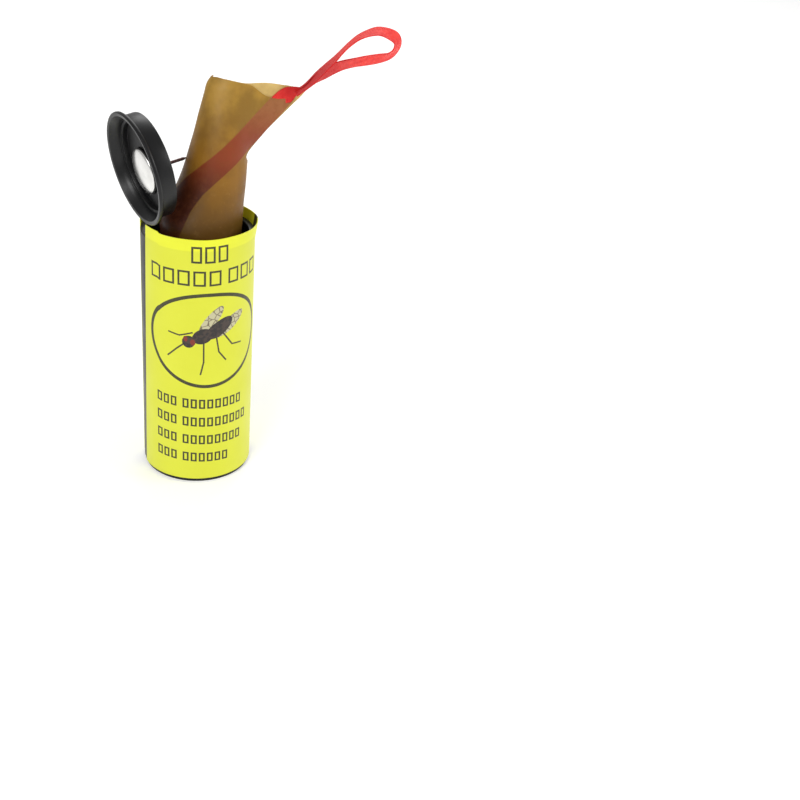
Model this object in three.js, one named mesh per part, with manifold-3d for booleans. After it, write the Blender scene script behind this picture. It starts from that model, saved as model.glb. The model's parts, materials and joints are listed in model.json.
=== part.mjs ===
// Sticky insect-paper tube, opened: a black tube in a paper label with a plug in its base, the cap
// pulled off beside the mouth with a drawing pin through it, and the wound sticky paper drawn
// part-way out with its hanging ribbon. Millimetres, +Z up, the origin under the base plug on the
// tube's axis. Azimuth 0 faces -Y and grows towards +X.
import * as THREE from 'three';
import { mergeVertices } from 'three/addons/utils/BufferGeometryUtils.js';
import Module from 'manifold-3d';

const wasm = await Module();
wasm.setup();

// tube and label
const tubeBoreR = 9.7;
const tubeWall = 1.1;
const tubeHeight = 50.3; // from the base flange to the rim
const labelThickness = 0.15;
const labelRise = 2.2; // how far the label stands above the tube's rim
const labelStepRise = 0.3; // the label's higher start
const labelStartTop = -62; // azimuths, degrees: the start edge leans, so it has two
const labelStartFoot = -70;
const labelStepEnd = -42;
const labelEnd = 266;

// the two flanged plugs
const flangeLedge = 0.9; // how far a flange reaches past the bore
const flangeThickness = 0.8;
const plugWall = 0.8;
const basePlugDepth = 5;
const basePlugFloor = 1.2;
const plugRound = 0.4;
const capDepth = 4;
const capStepDepth = 2.1; // the cap's bore narrows here
const capStep = 0.5;
const capMouth = [[0, 0.9], [0.5, 0.3], [0.9, 0]]; // the mouth's flare: out from the bore, in
const rimRound = 0.2;
const plugClearance = 0.1;

// where the cap hangs: its lip's lowest point, its axis from mouth to closed end
const capFootAzimuth = -66;
const capAxisTurn = 27; // degrees from +X towards +Y
const capAxisRise = 10;

// drawing pin
const pinHeadR = 4.4;
const pinHeadHeight = 1.1;
const pinHeadEdge = 0.25;
const pinSpikeR = 0.3;
const pinPointLength = 1;
const pinOffset = { side: 2, up: -1.9 }; // from the cap's axis
const pinHoleClearance = 0.15;
const pinSeat = 0.15;
const pinTipGap = 0.15;

// sticky paper
const rollLength = 40;
const rollReach = 28.6; // how far the roll stands out of the tube's rim
const rollRoom = 2.3; // from the roll's rim radius to the tube's bore
const rollTopR = 4.8;
const rollLean = { x: 0.19, y: 0.105 }; // rise per millimetre of height
const rollCentre = { x: 1.1, y: 0.7 }; // of its axis, at the rim
const paperThickness = 0.2;
const layerGap = 0.15;
const ribbonThickness = 0.2;
const adhesiveThickness = 0.2;
const innerTurns = 3;
const windingSlack = 0.1;
const innerTopDrop = 3;
const topSquash = 0.5; // the roll's top is pressed flat by this share, front to back
const squashStart = 15;
const footSpread = { out: 1.6, angle: -150, height: 1, run: 4 }; // a loose bulge by the tube's rim
const creaseStart = { w: 17.2, x: 6 }; // the crease's line passes here
const creaseEase = 0.5; // the last turn leaves the round this gently
const creaseSpread = 0.56; // then its corner moves out by this per millimetre
const cornerRise = 1.2; // the last turn's top edge climbs towards the corner
const flapTopRight = 27.4; // height of the flap's top edge at the corner
const flapEdgeGap = 0.25; // from its edge to the crease
const flapWrap = 28; // below the crease its edge reaches this far round, degrees
const flapWrapTop = 15.8; // starting from this height down
const flapWrapRun = 3.2;
const flapEnd = -205;

// ribbon
const ribbonWidth = 4;
const cordR = 0.5;
const bandStart = 10.4; // the glued band, from the corner across to the left
const bandEnd = -3.9;
const bandLine = { height: 14.6, slope: 1.25, droop: 0.12, rise: 0.03 };
const bandMargin = 0.7; // from the crease
const bandTop = 0.6; // how far its end stands over the roll's top

// derived
const contactGap = 0.05;
const tubeR = tubeBoreR + tubeWall;
const labelR = tubeR + contactGap + labelThickness;
const flangeR = tubeBoreR + flangeLedge;
const plugR = tubeBoreR - plugClearance;
const tubeFoot = flangeThickness + contactGap;
const rim = tubeFoot + tubeHeight;
const labelTop = rim + labelRise;
const rollRimR = tubeBoreR - rollRoom;

const finish = (color, roughness, metalness = 0) =>
  new THREE.MeshStandardMaterial({ color, roughness, metalness, side: THREE.DoubleSide });
const blackPlastic = finish(0x141414, 0.38);
const capPlastic = finish(0x101010, 0.28);
const labelPaper = finish(0xdfe12d, 0.5);
const waxedPaper = finish(0x9c6f21, 0.45);
const glue = finish(0xb98a2c, 0.15);
const ribbonRed = finish(0xd4282a, 0.6);
const pinMetal = finish(0xd9cfae, 0.2, 1);

const rad = THREE.MathUtils.degToRad;
const clamp01 = (x) => Math.min(1, Math.max(0, x));

function named(name, geometry, material) {
  const mesh = new THREE.Mesh(geometry, material);
  mesh.name = name;
  return mesh;
}

// a point at azimuth a, radius r; azimuth 0 is -Y
const around = (a, r, z = 0) => new THREE.Vector3(r * Math.sin(rad(a)), -r * Math.cos(rad(a)), z);

// a closed body turned about Z from a profile of [radius, height], counter-clockwise
function turned(profile, segments = 64) {
  const points = profile.map(([r, z]) => new THREE.Vector2(r, z));
  const geometry = new THREE.LatheGeometry([...points, points[0]], segments);
  geometry.rotateX(Math.PI / 2);
  return geometry;
}

function toSolid(geometry) {
  const bare = geometry.clone();
  bare.deleteAttribute('normal');
  bare.deleteAttribute('uv');
  const merged = mergeVertices(bare, 1e-5);
  return new wasm.Manifold(new wasm.Mesh({
    numProp: 3,
    vertProperties: new Float32Array(merged.attributes.position.array),
    triVerts: new Uint32Array(merged.index.array),
  }));
}

function toGeometry(solid) {
  const mesh = solid.getMesh();
  const geometry = new THREE.BufferGeometry();
  geometry.setAttribute('position', new THREE.BufferAttribute(mesh.vertProperties, 3));
  geometry.setIndex(new THREE.BufferAttribute(mesh.triVerts, 1));
  geometry.computeVertexNormals();
  return geometry;
}

// A thick sheet. face(i, j, side) gives the point in column i and row j on the outer (side 1) or
// inner (side -1) face. A ring has no end columns: its last column is followed by its first.
function thickSheet(columns, rows, face, ring = false) {
  const positions = [];
  const index = [];
  const count = columns * rows;
  for (const side of [1, -1]) {
    for (let i = 0; i < columns; i++) {
      for (let j = 0; j < rows; j++) positions.push(...face(i, j, side).toArray());
    }
  }
  const at = (i, j, side) => (side > 0 ? 0 : count) + (i % columns) * rows + j;
  const quad = (a, b, c, d) => index.push(a, b, c, a, c, d);
  const spans = ring ? columns : columns - 1;
  for (let i = 0; i < spans; i++) {
    for (let j = 0; j < rows - 1; j++) {
      quad(at(i, j, 1), at(i + 1, j, 1), at(i + 1, j + 1, 1), at(i, j + 1, 1));
      quad(at(i, j + 1, -1), at(i + 1, j + 1, -1), at(i + 1, j, -1), at(i, j, -1));
    }
    quad(at(i, 0, -1), at(i + 1, 0, -1), at(i + 1, 0, 1), at(i, 0, 1));
    quad(at(i, rows - 1, 1), at(i + 1, rows - 1, 1), at(i + 1, rows - 1, -1), at(i, rows - 1, -1));
  }
  if (!ring) {
    const last = columns - 1;
    for (let j = 0; j < rows - 1; j++) {
      quad(at(0, j, -1), at(0, j, 1), at(0, j + 1, 1), at(0, j + 1, -1));
      quad(at(last, j, 1), at(last, j, -1), at(last, j + 1, -1), at(last, j + 1, 1));
    }
  }
  const geometry = new THREE.BufferGeometry();
  geometry.setAttribute('position', new THREE.Float32BufferAttribute(positions, 3));
  geometry.setIndex(index);
  geometry.computeVertexNormals();
  return geometry;
}

function makeTube() {
  const geometry = turned([
    [tubeBoreR, tubeFoot], [tubeR, tubeFoot], [tubeR, rim - rimRound], [tubeR - rimRound, rim],
    [tubeBoreR + rimRound, rim], [tubeBoreR, rim - rimRound],
  ]);
  return named('canister_tube', geometry, blackPlastic);
}

function makeLabel() {
  const columns = 73;
  const rows = 3;
  const face = (i, j, side) => {
    const share = i / (columns - 1);
    const v = j / (rows - 1);
    const start = THREE.MathUtils.lerp(labelStartFoot, labelStartTop, v);
    const azimuth = start + (labelEnd - start) * share;
    const top = labelTop + (azimuth < labelStepEnd ? labelStepRise : 0);
    const r = side > 0 ? labelR : labelR - labelThickness;
    return around(azimuth, r, THREE.MathUtils.lerp(tubeFoot, top, v));
  };
  return named('label_wrap', thickSheet(columns, rows, face), labelPaper);
}

function makeBasePlug() {
  const inner = plugR - plugWall;
  const top = tubeFoot + basePlugDepth;
  const geometry = turned([
    [0, 0], [flangeR - rimRound, 0], [flangeR, rimRound], [flangeR, flangeThickness],
    [plugR, flangeThickness], [plugR, top - plugRound], [plugR - plugRound, top], [inner, top],
    [inner, basePlugFloor], [0, basePlugFloor],
  ]);
  return named('base_plug', geometry, capPlastic);
}

// the cap in its own frame: mouth at z 0, closed end at z capDepth, local Y up
function capGeometry() {
  const inner = plugR - plugWall;
  const floor = capDepth - plugWall;
  const shell = toSolid(turned([
    [0, floor], [inner - capStep, floor], [inner - capStep, capStepDepth], [inner, capStepDepth],
    ...capMouth.map(([out, z]) => [inner + out, z]), [flangeR - plugRound, 0],
    [flangeR, plugRound], [flangeR, flangeThickness - rimRound],
    [flangeR - rimRound, flangeThickness], [plugR, flangeThickness], [plugR, capDepth - plugRound],
    [plugR - plugRound, capDepth], [0, capDepth],
  ]));
  const drill = new THREE.CylinderGeometry(
    pinSpikeR + pinHoleClearance, pinSpikeR + pinHoleClearance, 3 * plugWall, 16);
  drill.rotateX(Math.PI / 2);
  drill.translate(pinOffset.side, pinOffset.up, capDepth - plugWall / 2);
  return toGeometry(shell.subtract(toSolid(drill)));
}

// domed head and spike in one, along +Z from the head's seat at z 0
function pinGeometry(spikeLength) {
  const dome = [];
  const steps = 6;
  for (let k = 0; k <= steps; k++) {
    const a = (Math.PI / 2) * (k / steps);
    dome.push([pinHeadR * Math.sin(a), -pinHeadEdge - (pinHeadHeight - pinHeadEdge) * Math.cos(a)]);
  }
  return turned([
    ...dome, [pinHeadR, 0], [pinSpikeR, 0], [pinSpikeR, spikeLength - pinPointLength],
    [0, spikeLength],
  ], 32);
}

// the roll's own frame: z along its axis from the rim level
const rollAxis = new THREE.Vector3(rollLean.x, rollLean.y, 1).normalize();
const rollX = new THREE.Vector3(1, 0, 0).addScaledVector(rollAxis, -rollAxis.x).normalize();
const rollY = new THREE.Vector3().crossVectors(rollAxis, rollX);
const rollOrigin = new THREE.Vector3(rollCentre.x, rollCentre.y, rim);
const rollFoot = rollReach - rollLength;

const flapMid = paperThickness / 2;
const bandMid = paperThickness + layerGap + ribbonThickness / 2;
const lastTurnMid = bandMid + ribbonThickness / 2 + layerGap + paperThickness / 2;
const lastTurnOut = lastTurnMid - paperThickness / 2;
const windingStart = lastTurnMid + paperThickness + layerGap;
const windingPitch = paperThickness + adhesiveThickness + 2 * layerGap + windingSlack;

// The roll tapers upwards, and its last turn is pinched out to a corner at angle 0. Each layer
// lies at its own inset from the outside: flap, band, last turn.
const rollRadius = (w) => rollTopR + (rollRimR - rollTopR) * (1 - clamp01(w / rollReach)) ** 1.5;

// how far the last turn's corner stands out from the axis
function creaseReach(w) {
  const r = rollRadius(w) - lastTurnOut;
  const past = Math.max(0, creaseStart.x + (w - creaseStart.w) * creaseSpread - r);
  return r + past ** 2 / (past + creaseEase);
}

// angle over which the wall runs straight to the corner
const cornerOpening = (w) => Math.acos((rollRadius(w) - lastTurnOut) / creaseReach(w));

function turnRadius(a, w, inset) {
  const towards = Math.max(0, Math.cos(a - rad(footSpread.angle))) ** 2;
  const bulge = footSpread.out * towards * Math.exp(-(((w - footSpread.height) / footSpread.run) ** 2));
  return (rollRadius(w) - inset) / Math.cos(Math.max(0, cornerOpening(w) - Math.abs(a))) + bulge;
}

// near-side depth of a layer at local x
function nearDepth(x, w, inset) {
  const opening = cornerOpening(w);
  const r = rollRadius(w) - inset;
  if (x > r * Math.cos(opening)) return -(r - x * Math.cos(opening)) / Math.sin(opening);
  return -Math.sqrt(Math.max(0, r * r - x * x));
}

// a point of the roll, its depth pressed flat towards the top
function inRoll(x, y, w) {
  const squash = topSquash * clamp01((w - squashStart) / (rollReach - squashStart)) ** 2;
  return new THREE.Vector3(x, y * (1 - squash), w);
}
const atAngle = (a, r, w) => inRoll(r * Math.cos(a), r * Math.sin(a), w);

// columns lie closer together about the corner
const gather = (s) => s - 0.6 * Math.sin(s) * Math.exp(-2 * s * s);

function makeLastTurn() {
  const count = 44;
  const rows = 25;
  const face = (i, j, side) => {
    const s = (2 * Math.PI * i) / count;
    const a = gather(Math.atan2(Math.sin(s), Math.cos(s)));
    const top = rollReach + cornerRise * clamp01(Math.cos(a)) ** 4;
    const w = THREE.MathUtils.lerp(rollFoot, top, j / (rows - 1));
    return atAngle(a, turnRadius(a, w, lastTurnMid - (side * paperThickness) / 2), w);
  };
  return named('paper_last_turn', thickSheet(count, rows, face, true), waxedPaper);
}

// angle of the flap's free edge: along the crease, and below it round to the far side
function flapEdge(w) {
  const x = creaseReach(w) - flapEdgeGap;
  const along = Math.atan2(nearDepth(x, w, flapMid), x);
  const wrap = THREE.MathUtils.smoothstep(flapWrapTop - w, 0, flapWrapRun);
  return THREE.MathUtils.lerp(along, rad(flapWrap), wrap);
}

function makeFlap() {
  const columns = 36;
  const rows = 27;
  const face = (i, j, side) => {
    const share = 1 - i / (columns - 1);
    const top = THREE.MathUtils.lerp(flapTopRight, rollReach, clamp01(share * 1.2));
    const w = THREE.MathUtils.lerp(rollFoot + 1, top, j / (rows - 1));
    const a = THREE.MathUtils.lerp(flapEdge(w), rad(flapEnd), share ** 1.2);
    return atAngle(a, turnRadius(a, w, flapMid - (side * paperThickness) / 2), w);
  };
  return named('paper_end_flap', thickSheet(columns, rows, face), waxedPaper);
}

// wound turns inside the last one: spirals with the paper and the glue on it alternating
function makeWinding(name, material, thickness, extraInset, foot, top) {
  const perTurn = 30;
  const columns = innerTurns * perTurn + 1;
  const rows = 7;
  const face = (i, j, side) => {
    const a = (2 * Math.PI * i) / perTurn;
    const inset = windingStart + extraInset + (windingPitch * i) / perTurn;
    const w = THREE.MathUtils.lerp(foot, top, j / (rows - 1));
    return atAngle(a, rollRadius(w) - inset + (side * thickness) / 2, w);
  };
  return named(name, thickSheet(columns, rows, face), material);
}

// the glued end of the ribbon, cut off short of the crease
function makeBand() {
  const columns = 36;
  const rows = 5;
  const tilt = new THREE.Vector2(-bandLine.slope, 1).normalize();
  const face = (i, j, side) => {
    const x = THREE.MathUtils.lerp(bandEnd, bandStart, i / (columns - 1));
    const droop = bandLine.droop * Math.max(0, -x - 1) ** 2;
    const rise = bandLine.rise * Math.max(0, x - 5) ** 2;
    const w = bandLine.height + bandLine.slope * x - droop + rise;
    const room = creaseReach(w) - bandMargin - x;
    const low = Math.max(-ribbonWidth / 2, -room / (creaseSpread * tilt.y - tilt.x));
    const high = Math.min(ribbonWidth / 2, (rollReach + bandTop - w) / tilt.y);
    const across = THREE.MathUtils.lerp(low, high, j / (rows - 1));
    const px = x + across * tilt.x;
    const height = w + across * tilt.y;
    return inRoll(px, nearDepth(px, height, bandMid - (side * ribbonThickness) / 2), height);
  };
  return named('ribbon_glued_band', thickSheet(columns, rows, face), ribbonRed);
}

// the free loop's route, from the paper's corner out and round and back to it
const loopRoute = [
  [17.75, 2.35, 77.45], [19.3, 2.45, 78.6], [20.3, 2.6, 79.5], [21.5, 2.7, 80.8], [23.1, 2.8, 82.4],
  [24.6, 2.9, 83.9], [25.9, 3.0, 85.4], [27.2, 3.2, 86.7], [28.8, 3.5, 87.9], [30.6, 3.8, 88.7],
  [32.5, 4.0, 89.1], [34.4, 4.2, 88.7], [35.9, 4.4, 87.9], [36.4, 4.6, 86.7], [36.1, 4.8, 85.4],
  [34.9, 5.0, 84.2], [32.9, 5.1, 83.6], [30.7, 5.2, 83.1], [28.4, 5.2, 82.6], [26.3, 5.2, 82.0],
  [24.5, 5.1, 81.2], [22.9, 5.0, 80.2], [21.3, 4.9, 79.2], [20.1, 4.5, 78.2], [19, 4, 77.3],
];

function makeLoop() {
  const route = new THREE.CatmullRomCurve3(
    loopRoute.map(([x, y, z]) => new THREE.Vector3(x, y, z)), false, 'centripetal');
  const section = new THREE.Shape();
  for (let k = 0; k < 8; k++) {
    const a = (Math.PI * k) / 4;
    const [x, y] = [cordR * Math.cos(a), cordR * Math.sin(a)];
    if (k === 0) section.moveTo(x, y);
    else section.lineTo(x, y);
  }
  section.closePath();
  const geometry = new THREE.ExtrudeGeometry(section, { steps: 46, extrudePath: route });
  return named('ribbon_loop', geometry, ribbonRed);
}

const part = new THREE.Group();
part.add(makeTube(), makeLabel(), makeBasePlug());

const roll = new THREE.Group();
roll.position.copy(rollOrigin);
roll.quaternion.setFromRotationMatrix(new THREE.Matrix4().makeBasis(rollX, rollY, rollAxis));
const windingTop = rollReach - innerTopDrop;
roll.add(
  makeLastTurn(), makeFlap(), makeBand(),
  makeWinding('paper_winding', waxedPaper, paperThickness, 0, rollFoot + 0.5, windingTop),
  makeWinding('adhesive_layer', glue, adhesiveThickness,
    (paperThickness + adhesiveThickness) / 2 + layerGap, rollFoot + 1.5, windingTop - 1),
);
part.add(roll, makeLoop());

const capAxis = new THREE.Vector3(
  Math.cos(rad(capAxisRise)) * Math.cos(rad(capAxisTurn)),
  Math.cos(rad(capAxisRise)) * Math.sin(rad(capAxisTurn)),
  Math.sin(rad(capAxisRise)));
const capSide = new THREE.Vector3().crossVectors(capAxis, new THREE.Vector3(0, 0, 1)).normalize();
const capUp = new THREE.Vector3().crossVectors(capSide, capAxis);
const capFoot = around(capFootAzimuth, labelR, labelTop + labelStepRise + 5 * contactGap);
const cap = new THREE.Group();
cap.position.copy(capFoot).addScaledVector(capUp, flangeR);
cap.quaternion.setFromRotationMatrix(
  new THREE.Matrix4().makeBasis(new THREE.Vector3().crossVectors(capUp, capAxis), capUp, capAxis));

// the spike reaches from the pin's seat in the cap to just short of the paper
function spikeLength(seat) {
  for (let length = 1; length < 60; length += 0.02) {
    const local = seat.clone().addScaledVector(capAxis, length).sub(rollOrigin);
    const [x, y, w] = [local.dot(rollX), local.dot(rollY), local.dot(rollAxis)];
    if (Math.hypot(x, y) < rollRadius(w) + pinTipGap) return length;
  }
  return 60;
}
const pinSeatHeight = capDepth - plugWall - pinSeat;
cap.updateMatrixWorld();
const pinSeatPoint = new THREE.Vector3(pinOffset.side, pinOffset.up, pinSeatHeight)
  .applyMatrix4(cap.matrixWorld);
const pin = named('drawing_pin', pinGeometry(spikeLength(pinSeatPoint)), pinMetal);
pin.position.set(pinOffset.side, pinOffset.up, pinSeatHeight);
cap.add(named('top_cap', capGeometry(), capPlastic), pin);
part.add(cap);

export default part;
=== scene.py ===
import json
import math

import bmesh
import bpy
from mathutils import Matrix, Vector


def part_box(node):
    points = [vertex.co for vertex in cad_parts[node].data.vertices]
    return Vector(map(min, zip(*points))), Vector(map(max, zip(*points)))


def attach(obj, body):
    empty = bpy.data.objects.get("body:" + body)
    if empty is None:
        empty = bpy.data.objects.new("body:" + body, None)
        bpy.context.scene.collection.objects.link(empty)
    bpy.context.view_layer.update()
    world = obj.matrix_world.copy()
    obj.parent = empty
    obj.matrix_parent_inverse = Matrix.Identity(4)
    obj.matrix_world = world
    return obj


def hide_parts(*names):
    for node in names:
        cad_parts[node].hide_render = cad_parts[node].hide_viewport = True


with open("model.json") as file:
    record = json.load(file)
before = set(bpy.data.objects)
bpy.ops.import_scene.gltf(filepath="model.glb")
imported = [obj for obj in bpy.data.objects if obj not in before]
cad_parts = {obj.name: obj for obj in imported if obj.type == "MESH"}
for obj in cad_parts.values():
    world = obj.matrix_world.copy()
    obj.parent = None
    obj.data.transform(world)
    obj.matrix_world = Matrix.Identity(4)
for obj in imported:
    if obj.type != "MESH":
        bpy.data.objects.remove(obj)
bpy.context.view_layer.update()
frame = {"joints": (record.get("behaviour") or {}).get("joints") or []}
mm = 0.001


# small helpers for lengths and shapes


def lerp(a, b, t):
    return a + (b - a) * t


def clamp(x, low=0.0, high=1.0):
    return min(high, max(low, x))


def ease(x):
    x = clamp(x)
    return x * x * (3 - 2 * x)


# a smooth curve through given points; t runs from 0 at the first to 1 at the last
def along(points, t):
    spans = len(points) - 1
    k = min(int(t * spans), spans - 1)
    u = t * spans - k
    p = [points[min(max(k + step, 0), spans)] for step in (-1, 0, 1, 2)]
    blend = (
        -0.5 * u + u * u - 0.5 * u**3,
        1 - 2.5 * u * u + 1.5 * u**3,
        0.5 * u + 2 * u * u - 1.5 * u**3,
        -0.5 * u * u + 0.5 * u**3,
    )
    return [sum(b * q[axis] for b, q in zip(blend, p)) for axis in range(len(points[0]))]


def addPiece(name, bm, material, body, replaced=(), sharp=40):
    mesh = bpy.data.meshes.new(name)
    bm.to_mesh(mesh)
    bm.free()
    mesh.shade_smooth()
    mesh.set_sharp_from_angle(angle=math.radians(sharp))
    piece = bpy.data.objects.new(name, mesh)
    bpy.context.scene.collection.objects.link(piece)
    mesh.materials.append(material)
    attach(piece, body)
    if replaced:
        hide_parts(*replaced)
    return piece


# a profile of (radius, height) in millimetres spun about Z, its sharp corners rounded
def spun(profile, closed, steps, rounding=0.0):
    bm = bmesh.new()
    verts = [bm.verts.new((r * mm, 0, z * mm)) for r, z in profile]
    pairs = list(zip(verts, verts[1:])) + ([(verts[-1], verts[0])] if closed else [])
    edges = [bm.edges.new(pair) for pair in pairs]
    bmesh.ops.spin(bm, geom=verts + edges, cent=(0, 0, 0), axis=(0, 0, 1),
                   angle=2 * math.pi, steps=steps, use_merge=True)
    bmesh.ops.remove_doubles(bm, verts=bm.verts, dist=1e-7)
    bmesh.ops.recalc_face_normals(bm, faces=bm.faces)
    if rounding:
        corners = [e for e in bm.edges if len(e.link_faces) == 2 and e.calc_face_angle() > 0.5]
        bmesh.ops.bevel(bm, geom=corners, offset=rounding * mm, offset_type="OFFSET",
                        affect="EDGES", segments=3, profile=0.5, material=-1, clamp_overlap=True)
    return bm


# a sheet: place(u, v) gives its middle surface in metres; extra values can be kept per point
def sheet(columns, rows, place, thickness, marks=None):
    bm = bmesh.new()
    bmesh.ops.create_grid(bm, x_segments=columns, y_segments=rows, size=0.5)
    uvLayer = bm.loops.layers.uv.new("sheetUV")
    layers = {}
    for key in marks or {}:
        layers[key] = bm.verts.layers.float.new(key)
    spot = {v: (v.co.x + 0.5, v.co.y + 0.5) for v in bm.verts}
    for face in bm.faces:
        for loop in face.loops:
            loop[uvLayer].uv = spot[loop.vert]
    for v, (u, w) in spot.items():
        for key, layer in layers.items():
            v[layer] = marks[key](u, w)
        v.co = place(u, w)
    bmesh.ops.remove_doubles(bm, verts=bm.verts, dist=1e-7)
    bmesh.ops.recalc_face_normals(bm, faces=bm.faces)
    bmesh.ops.solidify(bm, geom=bm.faces, thickness=thickness * mm)
    bmesh.ops.recalc_face_normals(bm, faces=bm.faces)
    return bm


# materials


def paint(r, g, b):
    def linear(c):
        c /= 255
        return c / 12.92 if c <= 0.04045 else ((c + 0.055) / 1.055) ** 2.4

    return (linear(r), linear(g), linear(b), 1.0)


# a node's output that takes part in arithmetic
class Wire:
    def __init__(self, finish, socket):
        self.finish = finish
        self.socket = socket

    def math(self, operation, *values):
        return self.finish.node("ShaderNodeMath", {"operation": operation}, dict(enumerate(values)))

    def __add__(self, other):
        return self.math("ADD", self, other)

    def __radd__(self, other):
        return self.math("ADD", other, self)

    def __sub__(self, other):
        return self.math("SUBTRACT", self, other)

    def __rsub__(self, other):
        return self.math("SUBTRACT", other, self)

    def __mul__(self, other):
        return self.math("MULTIPLY", self, other)

    def __rmul__(self, other):
        return self.math("MULTIPLY", other, self)

    def __truediv__(self, other):
        return self.math("DIVIDE", self, other)

    def __gt__(self, other):
        return self.math("GREATER_THAN", self, other)

    def __lt__(self, other):
        return self.math("LESS_THAN", self, other)

    def size(self):
        return self.math("ABSOLUTE", self)

    def top(self, other):
        return self.math("MAXIMUM", self, other)

    # 0 below the first value, 1 past the second, smooth between
    def rise(self, start, end):
        return self.finish.node("ShaderNodeMapRange", {"interpolation_type": "SMOOTHSTEP"},
                                {"Value": self, "From Min": start, "From Max": end})


class Finish:
    def __init__(self, name):
        self.material = bpy.data.materials.new(name)
        self.material.use_nodes = True
        self.tree = self.material.node_tree
        self.tree.nodes.clear()
        self.shader = self.tree.nodes.new("ShaderNodeBsdfPrincipled")
        out = self.tree.nodes.new("ShaderNodeOutputMaterial")
        self.tree.links.new(self.shader.outputs[0], out.inputs[0])

    def plug(self, socket, value):
        if isinstance(value, Wire):
            self.tree.links.new(value.socket, socket)
        else:
            socket.default_value = value

    def node(self, kind, settings=None, sockets=None, output=0):
        node = self.tree.nodes.new(kind)
        for key, value in (settings or {}).items():
            setattr(node, key, value)
        for key, value in (sockets or {}).items():
            self.plug(node.inputs[key], value)
        return Wire(self, node.outputs[output])

    def place(self, scale=(1, 1, 1), source="Object"):
        start = self.node("ShaderNodeTexCoord", output=source)
        return self.node("ShaderNodeMapping", None, {"Vector": start, "Scale": scale})

    def noise(self, scale, detail=3, roughness=0.5, at=None):
        return self.node("ShaderNodeTexNoise", None, {
            "Vector": at or self.place(), "Scale": scale, "Detail": detail,
            "Roughness": roughness})

    def split(self, vector):
        return [self.node("ShaderNodeSeparateXYZ", None, {0: vector}, axis) for axis in range(3)]

    def mark(self, key):
        return self.node("ShaderNodeAttribute", {"attribute_name": key}, None, "Fac")

    def mix(self, mask, first, second):
        node = self.tree.nodes.new("ShaderNodeMix")
        node.data_type = "RGBA"
        self.plug(node.inputs["Factor"], mask)
        self.plug(node.inputs[6], first)
        self.plug(node.inputs[7], second)
        return Wire(self, node.outputs[2])

    def bump(self, height, strength, distance):
        return self.node("ShaderNodeBump", None,
                         {"Height": height, "Strength": strength, "Distance": distance * mm})

    def finish(self, **values):
        for key, value in values.items():
            self.plug(self.shader.inputs[key.replace("_", " ")], value)
        return self.material


# camera, lights and floor

view = {"position": (0, -225.6, 145.7), "yaw": 10.64, "pitch": 30.0, "roll": 5.57, "lens": 56.33,
        "sensor": 36, "nearest": 0.01}


def makeCamera():
    yaw, pitch, roll = (math.radians(view[key]) for key in ("yaw", "pitch", "roll"))
    level = math.cos(pitch)
    ahead = Vector((math.sin(yaw) * level, math.cos(yaw) * level, -math.sin(pitch)))
    side = Vector((math.cos(yaw), -math.sin(yaw), 0))
    right = math.cos(roll) * side + math.sin(roll) * side.cross(ahead)
    up = right.cross(ahead)
    data = bpy.data.cameras.new("camera")
    data.lens = view["lens"]
    data.sensor_width = view["sensor"]
    data.clip_start = view["nearest"]
    camera = bpy.data.objects.new("camera", data)
    turn = Matrix((right, up, -ahead)).transposed().to_4x4()
    camera.matrix_world = Matrix.Translation(Vector(view["position"]) * mm) @ turn
    bpy.context.scene.collection.objects.link(camera)
    bpy.context.scene.camera = camera


studio = {
    "world": 0.48,
    "key": {"at": (-0.25, -0.45, 0.5), "size": 0.3, "power": 2.0},
    "side": {"at": (0.5, -0.05, 0.3), "size": 0.25, "power": 0.9},
    "back": {"at": (0.1, 0.5, 0.4), "size": 0.35, "power": 0.9},
    "aim": (0, 0, 0.045),
    "floor": {"size": 2.4, "shade": (243, 243, 242), "roughness": 0.7, "glow": 0.3},
}


def makeStudio():
    world = bpy.data.worlds.new("studio")
    bpy.context.scene.world = world
    world.use_nodes = True
    backdrop = world.node_tree.nodes["Background"]
    backdrop.inputs["Color"].default_value = (1, 1, 1, 1)
    backdrop.inputs["Strength"].default_value = studio["world"]
    for name in ("key", "side", "back"):
        lamp = studio[name]
        data = bpy.data.lights.new(name, "AREA")
        data.size = lamp["size"]
        data.energy = lamp["power"]
        light = bpy.data.objects.new(name, data)
        light.location = lamp["at"]
        toward = Vector(studio["aim"]) - Vector(lamp["at"])
        light.rotation_euler = toward.to_track_quat("-Z", "Y").to_euler()
        bpy.context.scene.collection.objects.link(light)
    bm = bmesh.new()
    bmesh.ops.create_grid(bm, x_segments=1, y_segments=1, size=studio["floor"]["size"] / 2)
    mesh = bpy.data.meshes.new("floor")
    bm.to_mesh(mesh)
    bm.free()
    floor = bpy.data.objects.new("floor", mesh)
    bpy.context.scene.collection.objects.link(floor)
    card = Finish("paleFloor")
    look = studio["floor"]
    mesh.materials.append(card.finish(
        Base_Color=paint(*look["shade"]), Roughness=look["roughness"],
        Emission_Color=(1, 1, 1, 1), Emission_Strength=look["glow"]))
    bpy.context.scene.view_settings.view_transform = "Standard"


makeCamera()
makeStudio()
print("camera and studio ready")

# the ribbon's free loop

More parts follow.
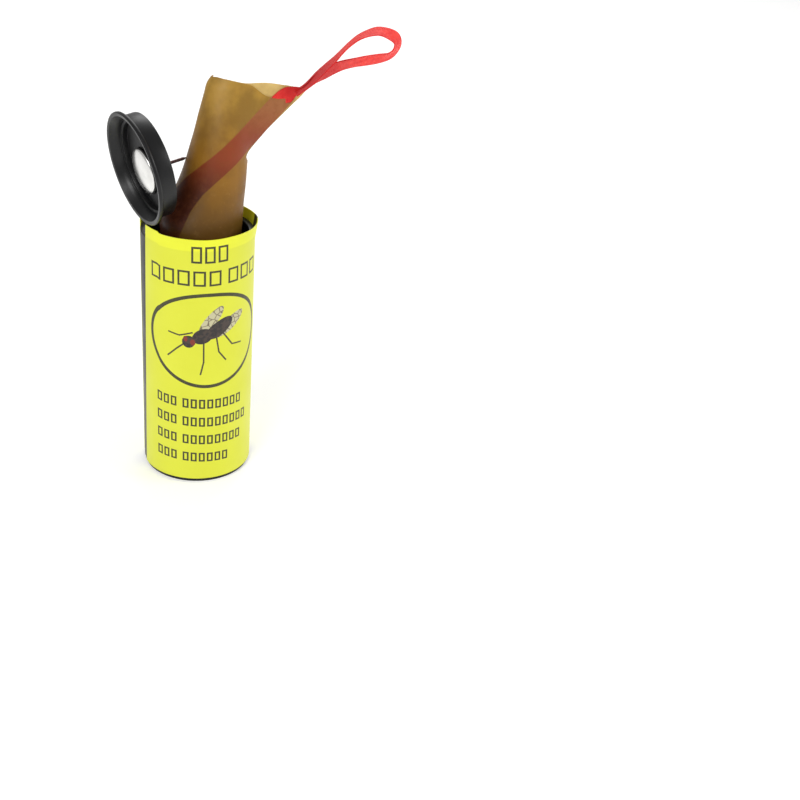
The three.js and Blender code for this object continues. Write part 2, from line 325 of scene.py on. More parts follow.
# the route repeats the CAD solid's; turn is how far the ribbon's face is turned from facing front
ribbonShape = {"width": 4.0, "thickness": 0.22, "steps": 190, "across": 8, "lookAhead": 0.004,
               "ribs": 620, "threads": 95, "lengthSamples": 240}
loopRoute = [
    [17.75, 2.35, 77.45], [19.3, 2.45, 78.6], [20.3, 2.6, 79.5], [21.5, 2.7, 80.8],
    [23.1, 2.8, 82.4], [24.6, 2.9, 83.9], [25.9, 3.0, 85.4], [27.2, 3.2, 86.7], [28.8, 3.5, 87.9],
    [30.6, 3.8, 88.7], [32.5, 4.0, 89.1], [34.4, 4.2, 88.7], [35.9, 4.4, 87.9], [36.4, 4.6, 86.7],
    [36.1, 4.8, 85.4], [34.9, 5.0, 84.2], [32.9, 5.1, 83.6], [30.7, 5.2, 83.1], [28.4, 5.2, 82.6],
    [26.3, 5.2, 82.0], [24.5, 5.1, 81.2], [22.9, 5.0, 80.2], [21.3, 4.9, 79.2], [20.1, 4.5, 78.2],
    [19, 4, 77.3],
]
loopTurn = [
    89, 88, 90, 92, 91, 88, 85, 85, 87, 91, 97, 105, 112, 117, 118, 123, 129, 130, 128, 130, 132,
    130, 125, 119, 119,
]
# the ribbon's darker colour at its two ends is painted shade, where the loop twists and turns away
# from the light
ribbonLook = {"weave": [(232, 34, 32), (252, 62, 52)], "shadedEnds": (180, 16, 24),
              "edges": (170, 16, 22), "roughness": 0.62}


def ribbonFinish():
    cloth = Finish("wovenRibbon")
    cross, length, _ = cloth.split(cloth.place(source="UV"))
    ribs = length.math("SINE", length * ribbonShape["ribs"])
    threads = cross.math("SINE", cross * ribbonShape["threads"])
    edge = (cross - 0.5).size().rise(0.42, 0.5)
    mottle = cloth.noise(900, 2)
    darker, lighter = ribbonLook["weave"]
    shade = cloth.mix(mottle.rise(0.3, 0.7), paint(*darker), paint(*lighter))
    # painted shade: the ribbon darkens towards both ends of the loop
    shadedEnds = (length - 0.5).size().rise(0.2, 0.36)
    shade = cloth.mix(shadedEnds * 0.7, shade, paint(*ribbonLook["shadedEnds"]))
    shade = cloth.mix(edge * 0.35, shade, paint(*ribbonLook["edges"]))
    height = ribs * 0.5 + threads * 0.35 + mottle * 0.4 + edge * 1.2
    return cloth.finish(Base_Color=shade, Roughness=ribbonLook["roughness"] - edge * 0.1,
                        Normal=cloth.bump(height, 0.45, 0.06), Specular_IOR_Level=0.3,
                        Sheen_Weight=0.06, Sheen_Roughness=0.4, Subsurface_Weight=0.25,
                        Subsurface_Radius=(1.2 * mm, 0.2 * mm, 0.2 * mm), Subsurface_Scale=0.6)


ribbonCloth = ribbonFinish()


def makeLoop():
    def centre(t):
        return Vector(along(loopRoute, t))

    def place(u, v):
        t = clamp(v)
        step = ribbonShape["lookAhead"]
        ahead = (centre(min(1, t + step)) - centre(max(0, t - step))).normalized()
        depth = Vector((0, 1, 0))
        flat = depth.cross(ahead).normalized()
        deep = ahead.cross(flat).normalized()
        turned = math.radians(along([[a] for a in loopTurn], t)[0])
        wide = flat * math.cos(turned) + deep * math.sin(turned)
        return (centre(t) + wide * ribbonShape["width"] * (u - 0.5)) * mm

    bm = sheet(ribbonShape["across"], ribbonShape["steps"], place, ribbonShape["thickness"])
    samples = ribbonShape["lengthSamples"]
    loop = addPiece("hangingLoop", bm, ribbonCloth, "paper_roll", ["ribbon_loop"], 60)
    path = [centre(k / samples) * mm for k in range(samples + 1)]


makeLoop()

# the roll's own frame: x, y across, w along its axis from the tube's rim, in millimetres

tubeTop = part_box("canister_tube")[1].z / mm
rollShape = {
    "rimRadius": 7.4, "topRadius": 4.8, "taper": 1.5, "reach": 28.6, "foot": -11.4,
    "centre": (1.1, 0.7), "paper": 0.2, "gap": 0.15, "ribbon": 0.2, "glue": 0.2, "slack": 0.1,
    "creaseW": 17.2, "creaseX": 6.0, "creaseSpread": 0.56, "creaseEase": 0.5,
    "squash": 0.5, "squashStart": 15, "curl": 0.9, "curlRun": 2.4, "crumple": 0.055,
    "spreadOut": 1.6, "spreadAngle": -150, "spreadHeight": 1, "spreadRun": 4,
}
turnShape = {"columns": 150, "rows": 90, "cornerRise": 1.2, "backDrop": 1.5, "leftDrop": 0.9,
             "crowding": 0.6, "crowdingRun": 2}
flapShape = {"columns": 150, "rows": 100, "top": 27.1, "topRise": (0.1, 0.22), "tip": 0.6,
             "tipRun": 0.08, "leftDrop": 0.45, "gap": -0.1, "wrap": 28, "wrapTop": 15.8,
             "wrapRun": 3.2, "end": -205, "crowding": 1.2, "foot": 1,
             "hiddenFrom": 0.05, "hiddenBy": 30}
windingShape = {"turns": 3, "columns": 216, "rows": 30, "topDrop": 3, "foot": 0.5, "glueIn": 1,
                "evenness": 0.5}
bandShape = {"columns": 8, "rows": 150, "lookAhead": 0.01, "leftMost": 0.97, "leftMiddle": 0.9,
             "creaseMargin": 0.9, "cornerMargin": 0.05, "cornerStart": 26.7, "cornerRun": 1.2,
             "lift": 0.35, "liftStart": 9.6, "liftRun": 2.4}
draw = next(joint for joint in frame["joints"] if joint["name"] == "paper_draw")
rollAxis = Vector(draw["axis"]).normalized()
rollX = (Vector((1, 0, 0)) - rollAxis * rollAxis.x).normalized()
rollY = rollAxis.cross(rollX)
rollOrigin = Vector((*rollShape["centre"], tubeTop))

flapMid = rollShape["paper"] / 2
bandMid = rollShape["paper"] + rollShape["gap"] + rollShape["ribbon"] / 2
lastTurnMid = bandMid + rollShape["ribbon"] / 2 + rollShape["gap"] + rollShape["paper"] / 2
lastTurnOut = lastTurnMid - rollShape["paper"] / 2
windingStart = lastTurnMid + rollShape["paper"] + rollShape["gap"]
windingPitch = rollShape["paper"] + rollShape["glue"] + 2 * rollShape["gap"] + rollShape["slack"]


# the roll's top is pressed flat front to back
def fromRoll(x, y, w):
    start = rollShape["squashStart"]
    squashed = clamp((w - start) / (rollShape["reach"] - start)) ** 2
    y *= 1 - rollShape["squash"] * squashed
    return (rollOrigin + rollX * x + rollY * y + rollAxis * w) * mm


def rollRadius(w):
    taper = (1 - clamp(w / rollShape["reach"])) ** rollShape["taper"]
    return lerp(rollShape["topRadius"], rollShape["rimRadius"], taper)


def creaseReach(w):
    r = rollRadius(w) - lastTurnOut
    line = rollShape["creaseX"] + (w - rollShape["creaseW"]) * rollShape["creaseSpread"]
    past = max(0, line - r)
    return r + past**2 / (past + rollShape["creaseEase"])


def cornerOpening(w):
    return math.acos((rollRadius(w) - lastTurnOut) / creaseReach(w))


# handling has left the paper slightly uneven, and its rim curls in on the side away from the corner
def unevenness(a, w):
    wave = math.sin(2 * a + 0.31 * w)
    wave += 0.6 * math.sin(3 * a - 0.47 * w + 1) + 0.4 * math.sin(5 * a + 0.8 * w)
    curl = clamp((w - rollShape["reach"] + rollShape["curlRun"]) / rollShape["curlRun"]) ** 2
    return rollShape["crumple"] * wave - rollShape["curl"] * curl * clamp(-math.cos(a)) ** 2


def turnRadius(a, w, inset):
    straight = math.cos(max(0, cornerOpening(w) - abs(a)))
    towards = max(0, math.cos(a - math.radians(rollShape["spreadAngle"]))) ** 2
    height = (w - rollShape["spreadHeight"]) / rollShape["spreadRun"]
    bulge = rollShape["spreadOut"] * towards * math.exp(-height * height)
    return (rollRadius(w) - inset) / straight + bulge + unevenness(a, w)


def nearDepth(x, w, inset):
    opening = cornerOpening(w)
    r = rollRadius(w) - inset
    if x > r * math.cos(opening):
        return -(r - x * math.cos(opening)) / math.sin(opening)
    return -math.sqrt(max(0, r * r - x * x))


def ringPlace(a, w, inset):
    r = turnRadius(a, w, inset)
    return fromRoll(r * math.cos(a), r * math.sin(a), w)


# the ribbon's glued stretch on the roll: its middle line as (x, w), and half its width there
bandLine = [
    [-6.9, -3.0, 2.1], [-6.2, 1.0, 2.1], [-5.2, 4.9, 2.1], [-3.4, 8.7, 2.1], [-1.2, 11.8, 2.0],
    [1.6, 15.4, 2.0], [5.0, 20.1, 2.0], [8.0, 24.7, 2.0], [10.0, 27.7, 1.8], [11.3, 28.8, 1.2],
    [12.6, 29.4, 0.7],
]


# how far a point of the roll's near side lies above the band's middle line
def aboveBand(x, w):
    best = None
    for (x0, w0, _), (x1, w1, _) in zip(bandLine, bandLine[1:]):
        step, reach = Vector((x1 - x0, w1 - w0)), Vector((x - x0, w - w0))
        away = reach - step * clamp(reach.dot(step) / step.length_squared)
        side = step.x * away.y - step.y * away.x
        if best is None or away.length < abs(best):
            best = math.copysign(away.length, side)
    return best


# waxed paper; three shades run from the roll's foot to its top: darker low down, partly glue
# showing through and partly painted shade inside the tube, and paler at the top, partly fewer
# layers and partly painted light through them

paperLook = {
    "flap": [(100, 68, 20), (146, 101, 27), (176, 136, 52)],
    "turn": [(120, 84, 32), (166, 124, 58), (214, 184, 112)],
    "inner": [(96, 64, 20), (130, 90, 34), (168, 126, 60)],
    "flecks": (186, 146, 82), "streaks": (104, 66, 18), "darken": 0.68, "roughness": 0.44,
    "coat": 0.05,
    # the first ribbonUnder shade is painted shade, used low on the roll in the cap's shadow and
    # inside the tube
    "ribbonUnder": [(66, 16, 8), (140, 52, 24), (158, 98, 58)], "ribbonFlecks": (122, 62, 28),
    "underEdge": (1.85, 2.15), "underFade": [(6, 17), (18, 27)],
}
glueLook = {"shades": [(150, 100, 24), (196, 146, 52)], "roughness": 0.06, "coat": 0.6}


def paperFinish(name, shades, ribbonShows=False):
    paper = Finish(name)
    _, rise, _ = paper.split(paper.place(source="UV"))
    cloudy = paper.noise(170, 4, 0.55)
    fine = paper.noise(900, 5, 0.65)
    grain = paper.noise(2600, 2, 0.6)
    streak = paper.noise(1, 3, 0.5, at=paper.place(scale=(420, 420, 60)))
    look = paperLook
    low, middle, high = (paint(*shade) for shade in shades)
    # painted shade and light: each piece is darker towards the roll's foot and lighter towards its
    # top
    shade = paper.mix(rise.rise(0.25, 0.62), low, middle)
    shade = paper.mix(rise.rise(0.6, 0.98), shade, high)
    darker = paper.mix(look["darken"], shade, low)
    shade = paper.mix(cloudy.rise(0.35, 0.68) * 0.75, shade, darker)
    shade = paper.mix(fine.rise(0.52, 0.75) * 0.12, shade, paint(*look["flecks"]))
    shade = paper.mix(streak.rise(0.55, 0.8) * 0.2, shade, paint(*look["streaks"]))
    if ribbonShows:
        over = paper.mark("overBand")
        fade = paper.mark("alongRoll")
        mask = 1 - over.size().rise(*look["underEdge"])
        deep, red, pale = (paint(*shade) for shade in look["ribbonUnder"])
        first, second = look["underFade"]
        # painted shade: the ribbon seen through the paper is darkest towards the roll's foot
        red = paper.mix(fade.rise(*first), deep, red)
        red = paper.mix(fade.rise(*second), red, pale)
        red = paper.mix(fine.rise(0.4, 0.7) * 0.3, red, paint(*look["ribbonFlecks"]))
        shade = paper.mix(mask * 0.9, shade, red)
        edge = (over.size() - 2).size().rise(0.0, 0.25)
        height = (1 - edge) * 0.5
    else:
        height = cloudy * 0.1
    relief = cloudy * 0.9 + fine * 0.35 + grain * 0.12 + height
    rough = fine.rise(0.3, 0.7) * 0.16 + look["roughness"]
    return paper.finish(Base_Color=shade, Roughness=rough, Normal=paper.bump(relief, 0.35, 0.14),
                        Coat_Weight=look["coat"], Coat_Roughness=0.3,
                        Specular_IOR_Level=0.28, Subsurface_Weight=0.12,
                        Subsurface_Radius=(1.0 * mm, 0.6 * mm, 0.25 * mm), Subsurface_Scale=0.5)


flapPaper = paperFinish("waxedFlap", paperLook["flap"], True)
turnPaper = paperFinish("waxedTurn", paperLook["turn"])
innerPaper = paperFinish("waxedInner", paperLook["inner"])


def makeLastTurn():
    def place(u, v):
        s = (u - 0.5) * 2 * math.pi
        # the columns stand closer together at the crease
        a = s - turnShape["crowding"] * math.sin(s) * math.exp(-turnShape["crowdingRun"] * s * s)
        top = rollShape["reach"] + turnShape["cornerRise"] * clamp(math.cos(a)) ** 4
        top -= turnShape["backDrop"] * ease(2 * math.sin(a))
        top -= turnShape["leftDrop"] * clamp(-math.cos(a)) ** 3
        w = lerp(rollShape["foot"], top, v)
        return ringPlace(a, w, lastTurnMid)

    bm = sheet(turnShape["columns"], turnShape["rows"], place, rollShape["paper"])
    addPiece("lastTurn", bm, turnPaper, "paper_roll", ["paper_last_turn"])


def flapEdge(w):
    x = creaseReach(w) - flapShape["gap"]
    angle = math.atan2(nearDepth(x, w, flapMid), x)
    wrap = ease((flapShape["wrapTop"] - w) / flapShape["wrapRun"])
    return lerp(angle, math.radians(flapShape["wrap"]), wrap)


def makeFlap():
    def spot(u, v):
        share = 1 - u
        start, run = flapShape["topRise"]
        top = lerp(flapShape["top"], rollShape["reach"], ease((share - start) / run))
        top += flapShape["tip"] * (1 - ease(share / flapShape["tipRun"]))
        end = math.radians(flapShape["end"])
        turned = share ** flapShape["crowding"]
        top -= flapShape["leftDrop"] * clamp(-math.cos(end * turned)) ** 6
        w = lerp(rollShape["foot"] + flapShape["foot"], top, v)
        a = lerp(flapEdge(w), end, turned)
        return a, w

    def place(u, v):
        a, w = spot(u, v)
        return ringPlace(a, w, flapMid)

    def overBand(u, v):
        a, w = spot(u, v)
        r = turnRadius(a, w, flapMid)
        # the ribbon can't show through on the far side, so that side counts as far above it
        farSide = max(0, math.sin(a) - flapShape["hiddenFrom"])
        return aboveBand(r * math.cos(a), w) + flapShape["hiddenBy"] * farSide

    bm = sheet(flapShape["columns"], flapShape["rows"], place, rollShape["paper"],
               {"overBand": overBand, "alongRoll": lambda u, v: spot(u, v)[1]})
    addPiece("endFlap", bm, flapPaper, "paper_roll", ["paper_end_flap"])


def makeWinding(name, material, node, thickness, extra, foot, top):
    def place(u, v):
        turn = windingShape["turns"] * u
        a = 2 * math.pi * turn
        w = lerp(foot, top, v)
        r = rollRadius(w) - windingStart - extra - windingPitch * turn
        belowCurl = min(w, rollShape["reach"] - rollShape["curlRun"])
        r += windingShape["evenness"] * unevenness(a, belowCurl)
        return fromRoll(r * math.cos(a), r * math.sin(a), w)

    bm = sheet(windingShape["columns"], windingShape["rows"], place, thickness)
    addPiece(name, bm, material, "paper_roll", [node])


def glueFinish():
    glue = Finish("wetGlue")
    cloudy = glue.noise(260, 4)
    dark, light = (paint(*shade) for shade in glueLook["shades"])
    shade = glue.mix(cloudy.rise(0.35, 0.65), dark, light)
    return glue.finish(Base_Color=shade, Roughness=cloudy * 0.1 + glueLook["roughness"],
                       Coat_Weight=glueLook["coat"], Normal=glue.bump(cloudy, 0.4, 0.2), IOR=1.5)


wetGlue = glueFinish()


def makeBand():
    def place(u, v):
        x, w, half = along(bandLine, v)
        x1, w1, _ = along(bandLine, min(1, v + bandShape["lookAhead"]))
        x0, w0, _ = along(bandLine, max(0, v - bandShape["lookAhead"]))
        ahead = Vector((x1 - x0, w1 - w0)).normalized()
        across = Vector((-ahead.y, ahead.x))
        # the strip narrows where it would pass the crease or the roll's left side
        leftmost = bandShape["leftMost"] * (bandMid - rollRadius(w))
        x = max(x, bandShape["leftMiddle"] * leftmost)
        atCorner = ease((w - bandShape["cornerStart"]) / bandShape["cornerRun"])
        margin = lerp(bandShape["creaseMargin"], bandShape["cornerMargin"], atCorner)
        room = max(bandShape["cornerMargin"], creaseReach(w) - margin - x)
        low = -min(half, room / (rollShape["creaseSpread"] * across.y - across.x))
        high = half if across.x > -0.01 else min(half, (leftmost - x) / across.x)
        reach = lerp(low, high, u)
        x, w = x + across.x * reach, w + across.y * reach
        lift = bandShape["lift"] * clamp((x - bandShape["liftStart"]) / bandShape["liftRun"])
        y = nearDepth(x, w, bandMid)
        a = math.atan2(y, x)
        shift = turnRadius(a, w, bandMid) - math.hypot(x, y)
        return fromRoll(x + shift * math.cos(a), y + shift * math.sin(a) - lift, w)

    bm = sheet(bandShape["columns"], bandShape["rows"], place, rollShape["ribbon"])
    addPiece("gluedBand", bm, ribbonCloth, "paper_roll", ["ribbon_glued_band"])


def makePaper():
    makeLastTurn()
    makeFlap()
    paperThick, glueThick = rollShape["paper"], rollShape["glue"]
    foot = rollShape["foot"] + windingShape["foot"]
    top = rollShape["reach"] - windingShape["topDrop"]
    inward = windingShape["glueIn"]
    makeWinding("innerTurns", innerPaper, "paper_winding", paperThick, 0, foot, top)
    makeWinding("glueFilm", wetGlue, "adhesive_layer", glueThick,
                (paperThick + glueThick) / 2 + rollShape["gap"], foot + inward, top - inward)
    makeBand()
    print("paper and ribbon made")


makePaper()

# black plastic: tube, base plug and cap

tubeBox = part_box("canister_tube")
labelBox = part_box("label_wrap")
tubeShape = {"radius": tubeBox[1].x / mm, "wall": 1.1, "round": 0.12, "steps": 160,
             "foot": tubeBox[0].z / mm, "top": tubeTop}
plugShape = {"flange": 10.6, "body": 9.6, "wall": 0.8, "flangeHeight": 0.8, "floor": 1.2,
             "top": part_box("base_plug")[1].z / mm, "round": 0.14, "steps": 160}
plasticLook = {
    "rolled": {"shade": (17, 17, 19), "roughness": 0.34, "scratches": (2400, 2400, 30)},
    "moulded": {"shade": (9, 9, 10), "roughness": 0.3, "scratches": (700, 700, 700)},
    "flecks": (34, 34, 36),
}


def plasticFinish(name, look):
    plastic = Finish(name)
    soft = plastic.noise(240, 3)
    speck = plastic.noise(3800, 2, 0.6)
    drawn = plastic.noise(1, 4, 0.6, at=plastic.place(scale=look["scratches"]))
    shade = plastic.mix(speck.rise(0.6, 0.8) * 0.3, paint(*look["shade"]),
                        paint(*plasticLook["flecks"]))
    rough = soft.rise(0.3, 0.7) * 0.1 + drawn.rise(0.5, 0.75) * 0.08 + look["roughness"]
    relief = speck * 0.25 + drawn * 0.4 + soft * 0.3
    return plastic.finish(Base_Color=shade, Roughness=rough, IOR=1.5, Specular_IOR_Level=0.36,
                          Normal=plastic.bump(relief, 0.12, 0.05))


def makeTube():
    sheetBlack = plasticFinish("rolledBlackSheet", plasticLook["rolled"])
    outer, inner = tubeShape["radius"], tubeShape["radius"] - tubeShape["wall"]
    low, high = tubeShape["foot"], tubeShape["top"]
    wall = [(inner, low), (outer, low), (outer, high), (inner, high)]
    bm = spun(wall, True, tubeShape["steps"], tubeShape["round"])
    addPiece("canisterTube", bm, sheetBlack, "canister", ["canister_tube"])


mouldedBlack = plasticFinish("mouldedBlack", plasticLook["moulded"])


def makeBasePlug():
    s = plugShape
    inner = s["body"] - s["wall"]
    bm = spun([
        (0, 0), (s["flange"], 0), (s["flange"], s["flangeHeight"]), (s["body"], s["flangeHeight"]),
        (s["body"], s["top"]), (inner, s["top"]), (inner, s["floor"]), (0, s["floor"]),
    ], False, s["steps"], s["round"])
    addPiece("basePlug", bm, mouldedBlack, "base_plug", ["base_plug"])


# outline points are (out, along): the flare's from the bore, the lip's from the flange's edge, and
# the fillet's and the shoulder's from the body's side
capShape = {
    "depth": 4.0, "stepDepth": 2.1, "step": 0.5, "steps": 160, "round": 0.07,
    "flare": [(0, 1.7), (0.45, 1.0), (0.8, 0.45), (1.0, 0.12)],
    "lip": [(-0.25, 0.03), (-0.06, 0.16), (0, 0.38), (-0.05, 0.64), (-0.2, 0.8)],
    "fillet": [(0.15, 0.83), (0, 0.98)], "shoulder": [(0, 0.3), (-0.09, 0.09), (-0.3, 0)],
    "pinHole": 0.42, "pinOffset": (2.0, -1.9),
    "footAzimuth": -66, "turn": 27, "rise": 10, "footGap": 0.25,
}
pinShape = {
    "head": 4.4, "height": 1.1, "edge": 0.25, "spike": 0.3, "point": 0.9, "tip": (0.12, 0.25),
    "rimRound": [(0.04, 0.05), (0.14, 0)], "neck": (0.25, 0.15), "seat": 0.15, "bite": 0.6,
    "steps": 72, "domeSteps": 10, "darkFrom": 0.1,
}
pinLook = {"head": [(238, 237, 234), (206, 205, 202)], "spike": [(92, 70, 74), (134, 108, 104)],
           "headRoughness": 0.2, "spikeRoughness": 0.3}


# the cap's frame: its mouth faces away along -Z, and Y points up its face
def capFrame():
    turn, rise = math.radians(capShape["turn"]), math.radians(capShape["rise"])
    level = math.cos(rise)
    axis = Vector((level * math.cos(turn), level * math.sin(turn), math.sin(rise)))
    side = axis.cross(Vector((0, 0, 1))).normalized()
    up = side.cross(axis)
    azimuth = math.radians(capShape["footAzimuth"])
    rim = labelBox[1].x / mm
    foot = Vector((rim * math.sin(azimuth), -rim * math.cos(azimuth),
                   labelBox[1].z / mm + capShape["footGap"]))
    centre = (foot + up * plugShape["flange"]) * mm
    basis = Matrix((up.cross(axis), up, axis)).transposed().to_4x4()
    return Matrix.Translation(centre) @ basis


capPlace = capFrame()


def makeCap():
    s = capShape
    body, flange, wall = plugShape["body"], plugShape["flange"], plugShape["wall"]
    inner, floor, depth = body - wall, s["depth"] - wall, s["depth"]
    bm = spun([
        (s["pinHole"], floor), (inner - s["step"], floor), (inner - s["step"], s["stepDepth"]),
        (inner, s["stepDepth"]), *[(inner + out, z) for out, z in s["flare"]],
        *[(flange + out, z) for out, z in s["lip"]], *[(body + out, z) for out, z in s["fillet"]],
        *[(body + out, depth - z) for out, z in s["shoulder"]], (s["pinHole"], depth),
    ], True, s["steps"])
    # the pricked hole lies off the middle, so the end wall's hole ring is moved there
    near = [v for v in bm.verts if math.hypot(v.co.x, v.co.y) < 2 * s["pinHole"] * mm]
    bmesh.ops.translate(bm, verts=near, vec=Vector((*s["pinOffset"], 0)) * mm)
    corners = [e for e in bm.edges if len(e.link_faces) == 2 and e.calc_face_angle() > 1.2]
    bmesh.ops.bevel(bm, geom=corners, offset=s["round"] * mm, offset_type="OFFSET",
                    affect="EDGES", segments=3, profile=0.5, material=-1, clamp_overlap=True)
    bmesh.ops.transform(bm, matrix=capPlace, verts=bm.verts)
    addPiece("pulledCap", bm, mouldedBlack, "cap", ["top_cap"])


def makePin():
    polished = Finish("platedSteel")
    soft = polished.noise(300, 3)
    hair = polished.noise(5200, 3, 0.7)
    light, dull = (paint(*shade) for shade in pinLook["head"])
    shade = polished.mix(soft.rise(0.35, 0.65) * 0.5, light, dull)
    steel = polished.finish(Base_Color=shade, Metallic=1.0,
                            Roughness=hair.rise(0.3, 0.7) * 0.08 + pinLook["headRoughness"],
                            Normal=polished.bump(hair * 0.4 + soft * 0.6, 0.08, 0.04))
    s = pinShape
    floor = capShape["depth"] - plugShape["wall"] - s["seat"]
    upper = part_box("drawing_pin")[1]
    axis = capPlace.to_3x3() @ Vector((0, 0, 1))
    seat = capPlace @ (Vector((*capShape["pinOffset"], floor)) * mm)
    length = (upper.x - seat.x) / axis.x / mm + s["bite"]
    dome = []
    for k in range(s["domeSteps"] + 1):
        a = math.pi / 2 * k / s["domeSteps"]
        low = s["edge"] + (s["height"] - s["edge"]) * math.cos(a)
        dome.append((s["head"] * math.sin(a), -low))
    (neckOut, neckUp), (tipRadius, tipBack) = s["neck"], s["tip"]
    bm = spun([
        *dome, *[(s["head"] - inward, -z) for inward, z in s["rimRound"]],
        (s["spike"] + neckOut, 0), (s["spike"], neckUp), (s["spike"], length - s["point"]),
        (tipRadius, length - tipBack), (0, length),
    ], False, s["steps"])
    for face in bm.faces:
        face.material_index = int(face.calc_center_median().z > s["darkFrom"] * mm)
    shift = Matrix.Translation(Vector((*capShape["pinOffset"], floor)) * mm)
    bmesh.ops.transform(bm, matrix=capPlace @ shift, verts=bm.verts)
    pin = addPiece("drawingPin", bm, steel, "pin", ["drawing_pin"])
    hardened = Finish("hardenedSpike")
    drawn = hardened.noise(2400, 3, 0.6)
    dark, light = (paint(*shade) for shade in pinLook["spike"])
    shade = hardened.mix(drawn.rise(0.35, 0.65), dark, light)
    pin.data.materials.append(hardened.finish(
        Base_Color=shade, Metallic=1.0, Roughness=drawn * 0.2 + pinLook["spikeRoughness"],
        Normal=hardened.bump(drawn, 0.2, 0.02)))


makeTube()
makeBasePlug()
makeCap()
makePin()
print("plastic and pin made")

# the printed label

labelShape = {"thickness": 0.15, "startTop": -62, "startFoot": -70, "stepEnd": -42, "end": 266,
              "step": 0.3, "stepHalf": 1.5, "ripple": 0.07, "loose": 0.07, "flare": 0.6,
              "flareAt": 84, "flareRun": 40, "columns": 224, "rows": 60}
labelRadius = labelBox[1].x / mm - labelShape["thickness"] / 2
labelHigh = labelBox[1].z / mm
labelLow = labelBox[0].z / mm


def makeLabelSheet(material):
    s = labelShape

    def place(u, v):
        start = lerp(s["startFoot"], s["startTop"], v)
        azimuth = lerp(start, s["end"], u)
        stepped = ease((azimuth - s["stepEnd"] + s["stepHalf"]) / (2 * s["stepHalf"]))
        top = labelHigh - s["step"] * stepped
        a = math.radians(azimuth)
        above = clamp((v - 1 + s["loose"]) / s["loose"])
        top -= s["ripple"] * (1 + math.sin(3 * a + 1) + 0.5 * math.sin(7 * a))
        wave = 1 + math.sin(2 * a + 0.5) + 0.6 * math.sin(5 * a)
        off = (azimuth - s["flareAt"]) / s["flareRun"]
        r = labelRadius + above * (s["flare"] * math.exp(-off * off) - s["ripple"] * wave)
        return Vector((r * math.sin(a), -r * math.cos(a), lerp(labelLow, top, v))) * mm

    def arcAt(u, v):
        azimuth = lerp(lerp(s["startFoot"], s["startTop"], v), s["end"], u)
        return math.radians(azimuth) * labelRadius

    def heightAt(u, v):
        return lerp(labelLow, labelHigh - s["step"], v)

    bm = sheet(s["columns"], s["rows"], place, s["thickness"],
               {"aroundTube": arcAt, "upTube": heightAt})
    addPiece("printedLabel", bm, material, "canister", ["label_wrap"])


# what is printed, in millimetres round and up the label: every word is a row of plain blank tiles
printed = {
    "ink": (34, 31, 16),
    "titles": [
        {"words": [(-1.2, 3)], "middle": 50.4, "height": 3.3, "pitch": 2.55, "tile": 2.0},
        {"words": [(-9.8, 5), (6.0, 3)], "middle": 45.6, "height": 3.1, "pitch": 3.0,
         "tile": 2.35},
    ],
    "titleStroke": 0.4,
    "lines": {"first": 18.9, "spacing": 4.15, "height": 2.1, "pitch": 1.62, "tile": 1.22,
              "stroke": 0.36, "words": [8, 9, 8, 6], "at": -2.9, "shortAt": -8.6, "short": 3,
              "slope": 0.046},
    "ring": {"at": (2.2, 32.35), "radii": (12.45, 10.25), "line": 0.72, "widerUp": 0.06},
    "stripe": {"from": 17.6, "to": 19.9},
    "notes": {"from": 21.2, "to": 37.0, "low": 8, "high": 46, "pitch": 1.7, "tile": 1.15,
              "ticks": 2.4, "tickGap": 0.45, "wordGap": 0.47, "wordSize": (0.55, 1.1, 0),
              "strength": 0.8},
}
# a plain insect sign: ellipses as (round, up, half length, half width, turn in degrees), and limbs
# as the points that they pass through
insect = {
    "wings": [(2.7, 36.9, 3.5, 1.15, 50), (6.3, 35.4, 4.0, 1.3, 32)],
    "body": [(4.3, 35.0, 3.2, 1.5, 34), (1.0, 33.5, 2.1, 1.55, 24), (-1.7, 32.3, 1.25, 1.3, 0)],
    "eyes": [(-2.3, 32.9, 0.4, 0.6, 10), (-0.9, 32.2, 0.5, 0.65, 10)],
    "limbs": [
        [(-1.0, 34.3), (-3.5, 33.5), (-5.7, 33.9)], [(-2.4, 32.0), (-4.0, 30.6), (-5.9, 28.7)],
        [(1.2, 32.4), (1.2, 27.9), (0.6, 25.2)], [(3.6, 33.6), (4.2, 29.9), (5.7, 27.8)],
        [(5.0, 33.9), (7.1, 30.9), (9.4, 30.6)],
    ],
    "limbHalf": 0.16, "limbOverlap": 0.1,
}
labelLook = {
    "card": (222, 226, 46), "rim": (236, 240, 34), "rimFrom": (50.9, 51.3),
    "clouds": (214, 216, 40), "fibres": (236, 236, 96), "wings": [(112, 100, 78), (196, 190, 152)],
    "body": [(34, 28, 26), (64, 50, 42)], "legs": (64, 58, 32), "eyes": (128, 40, 24),
    "roughness": 0.42, "coat": 0.12,
}


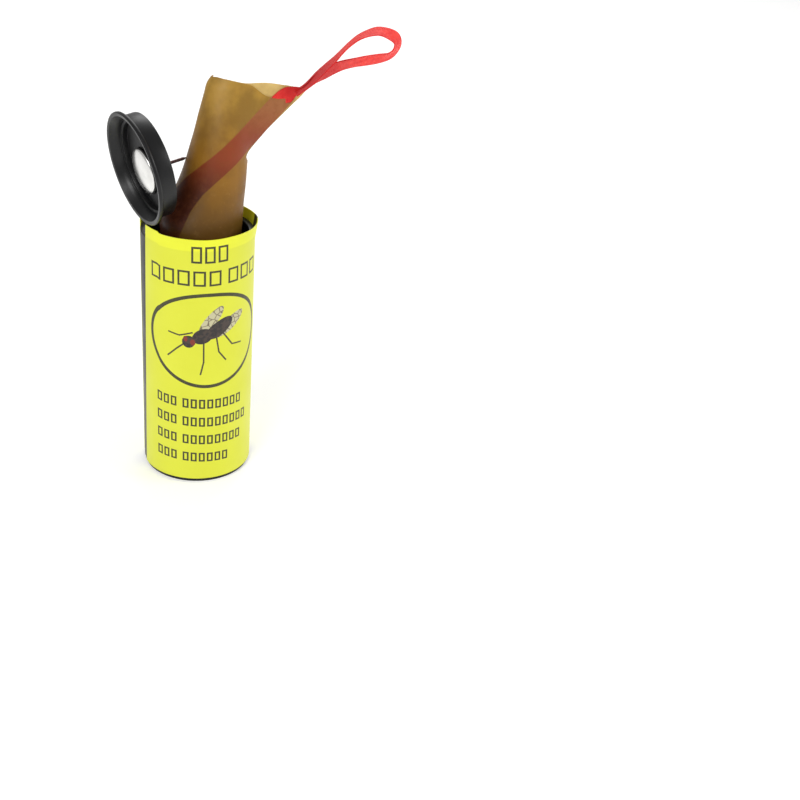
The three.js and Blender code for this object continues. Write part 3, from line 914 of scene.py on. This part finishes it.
def labelFinish():
    card = Finish("printedCard")
    x, z = card.mark("aroundTube"), card.mark("upTube")
    spotPlace = card.node("ShaderNodeCombineXYZ", None, {0: x, 1: z, 2: 0.0})

    def ellipse(cx, cz, rx, rz, turn):
        a = math.radians(turn)
        dx, dz = x - cx, z - cz
        p = (dx * math.cos(a) + dz * math.sin(a)) / rx
        q = (dz * math.cos(a) - dx * math.sin(a)) / rz
        return p * p + q * q

    def patch(*shapes):
        masks = [ellipse(*shape) < 1 for shape in shapes]
        whole = masks[0]
        for mask in masks[1:]:
            whole = whole.top(mask)
        return whole

    def limb(start, end):
        (x0, z0), (x1, z1) = start, end
        half = math.hypot(x1 - x0, z1 - z0) / 2
        c, s = (x1 - x0) / 2 / half, (z1 - z0) / 2 / half
        dx, dz = x - (x0 + x1) / 2, z - (z0 + z1) / 2
        lengthways, sideways = (dx * c + dz * s).size(), (dz * c - dx * s).size()
        return (lengthways < half + insect["limbOverlap"]) * (sideways < insect["limbHalf"])

    # a word: a row of hollow tiles from its start
    def tiles(start, count, level, row, stroke):
        step = x.math("MODULO", x - start, row["pitch"])
        dx = (step - row["tile"] / 2).size() - row["tile"] / 2
        out = dx.top(level.size() - row["height"] / 2)
        return (out < 0) * (out > -stroke) * (x > start) * (x < start + count * row["pitch"])

    ring = printed["ring"]
    (cx, cz), (rx, rz) = ring["at"], ring["radii"]

    def oval(less):
        p = (x - cx) / ((z - cz) * ring["widerUp"] + (rx - less))
        q = (z - cz) / (rz - less)
        return p * p + q * q

    ink = (oval(0) < 1) * (oval(ring["line"]) > 1)
    for row in printed["titles"]:
        for start, count in row["words"]:
            ink = ink.top(tiles(start, count, z - row["middle"], row, printed["titleStroke"]))
    lines = printed["lines"]
    for k, count in enumerate(lines["words"]):
        middle = lines["first"] - k * lines["spacing"]
        level = z + (x - lines["shortAt"]) * lines["slope"] - middle
        ink = ink.top(tiles(lines["shortAt"], lines["short"], level, lines, lines["stroke"]))
        ink = ink.top(tiles(lines["at"], count, level, lines, lines["stroke"]))
    stripe = printed["stripe"]
    ink = ink.top((x > stripe["from"]) * (x < stripe["to"]))
    notes = printed["notes"]
    across = x.math("MODULO", x - notes["from"], notes["pitch"])
    word = card.noise(1, 1, at=card.node("ShaderNodeVectorMath", {"operation": "MULTIPLY"},
                                         {0: spotPlace, 1: notes["wordSize"]}))
    small = (x > notes["from"]) * (x < notes["to"]) * (z > notes["low"]) * (z < notes["high"])
    small = small * (across < notes["tile"]) * (word > notes["wordGap"])
    tick = z.math("FRACT", z * notes["ticks"])
    ink = ink.top(small * (tick > notes["tickGap"]) * notes["strength"])
    pairs = [pair for points in insect["limbs"] for pair in zip(points, points[1:])]
    legs = limb(*pairs[0])
    for pair in pairs[1:]:
        legs = legs.top(limb(*pair))
    body, wings, eyes = (patch(*insect[part]) for part in ("body", "wings", "eyes"))
    veins = card.node("ShaderNodeTexVoronoi", {"feature": "DISTANCE_TO_EDGE"},
                      {"Vector": spotPlace, "Scale": 0.9})
    fibre = card.noise(1500, 3)
    cloud = card.noise(110, 3)
    look = labelLook
    bright = z.rise(*look["rimFrom"])
    sheetShade = card.mix(bright, paint(*look["card"]), paint(*look["rim"]))
    sheetShade = card.mix(cloud.rise(0.35, 0.7) * 0.35, sheetShade, paint(*look["clouds"]))
    sheetShade = card.mix(fibre.rise(0.6, 0.8) * 0.12, sheetShade, paint(*look["fibres"]))
    wingShade = card.mix(veins.rise(0.02, 0.1), *(paint(*shade) for shade in look["wings"]))
    bodyShade = card.mix(fibre.rise(0.4, 0.6), *(paint(*shade) for shade in look["body"]))
    shade = card.mix(wings, sheetShade, wingShade)
    shade = card.mix(legs, shade, paint(*look["legs"]))
    shade = card.mix(body, shade, bodyShade)
    shade = card.mix(eyes, shade, paint(*look["eyes"]))
    shade = card.mix(ink * (0.93 + fibre * 0.07), shade, paint(*printed["ink"]))
    inkRelief = (1 - ink) * 0.2 + fibre * 0.3 + cloud * 0.5
    return card.finish(Base_Color=shade, Roughness=cloud.rise(0.3, 0.7) * 0.1 + look["roughness"],
                       Normal=card.bump(inkRelief, 0.12, 0.05), Coat_Weight=look["coat"],
                       Coat_Roughness=0.25)


makeLabelSheet(labelFinish())
print("label made")
